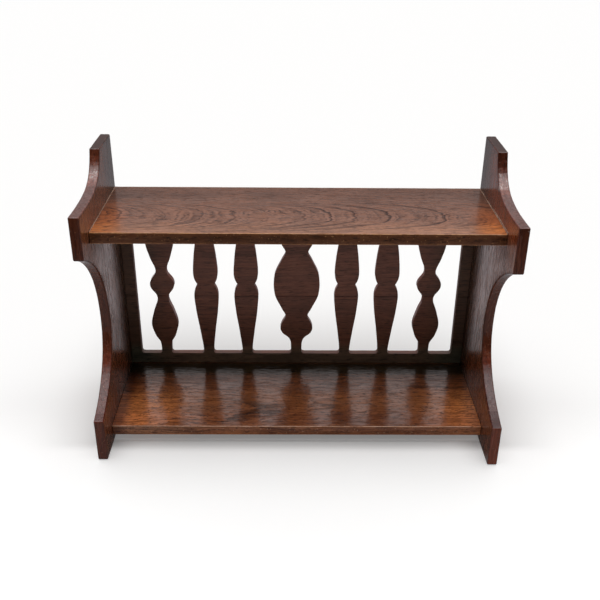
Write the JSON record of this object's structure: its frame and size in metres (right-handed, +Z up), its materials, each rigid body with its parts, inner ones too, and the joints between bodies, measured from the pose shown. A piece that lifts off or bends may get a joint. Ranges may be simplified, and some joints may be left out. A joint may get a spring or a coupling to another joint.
{
  "type": "shelf rack",
  "caption": "Tabletop wooden shelf rack with shaped ends, an upper and a lower shelf for books or small things, and a fret-sawn back of flat balusters.",
  "frame": {"origin": "under the middle of the rack, on the surface that it stands on", "axes": "+X along the shelves to the right as seen from the front, +Y to the rear, +Z up; the front faces -Y"},
  "size_m": [0.56, 0.2358, 0.406],
  "materials": {
    "end_wood": "dark stained oak, clear glossy finish, worn edges",
    "shelf_wood": "stained oak with open grain, clear glossy finish",
    "back_wood": "very dark stained oak, clear satin finish",
    "peg_wood": "bare beech",
    "screw_steel": "dull, darkened"
  },
  "bodies": {
    "root": {"left_end": "end_wood", "right_end": "end_wood", "upper_shelf": "shelf_wood", "lower_shelf": "shelf_wood", "upper_back_board": "back_wood", "lower_back_board": "back_wood", "dowel_upper_left_front": "peg_wood", "dowel_upper_left_middle": "peg_wood", "dowel_upper_left_rear": "peg_wood", "dowel_upper_right_front": "peg_wood", "dowel_upper_right_middle": "peg_wood", "dowel_upper_right_rear": "peg_wood", "dowel_lower_left_front": "peg_wood", "dowel_lower_left_middle": "peg_wood", "dowel_lower_left_rear": "peg_wood", "dowel_lower_right_front": "peg_wood", "dowel_lower_right_middle": "peg_wood", "dowel_lower_right_rear": "peg_wood", "back_screw_upper_left": "screw_steel", "back_screw_upper_middle": "screw_steel", "back_screw_upper_right": "screw_steel", "back_screw_lower_left": "screw_steel", "back_screw_lower_middle": "screw_steel", "back_screw_lower_right": "screw_steel", "back_screw_left_high": "screw_steel", "back_screw_left_low": "screw_steel", "back_screw_right_high": "screw_steel", "back_screw_right_low": "screw_steel"}
  },
  "joints": []
}
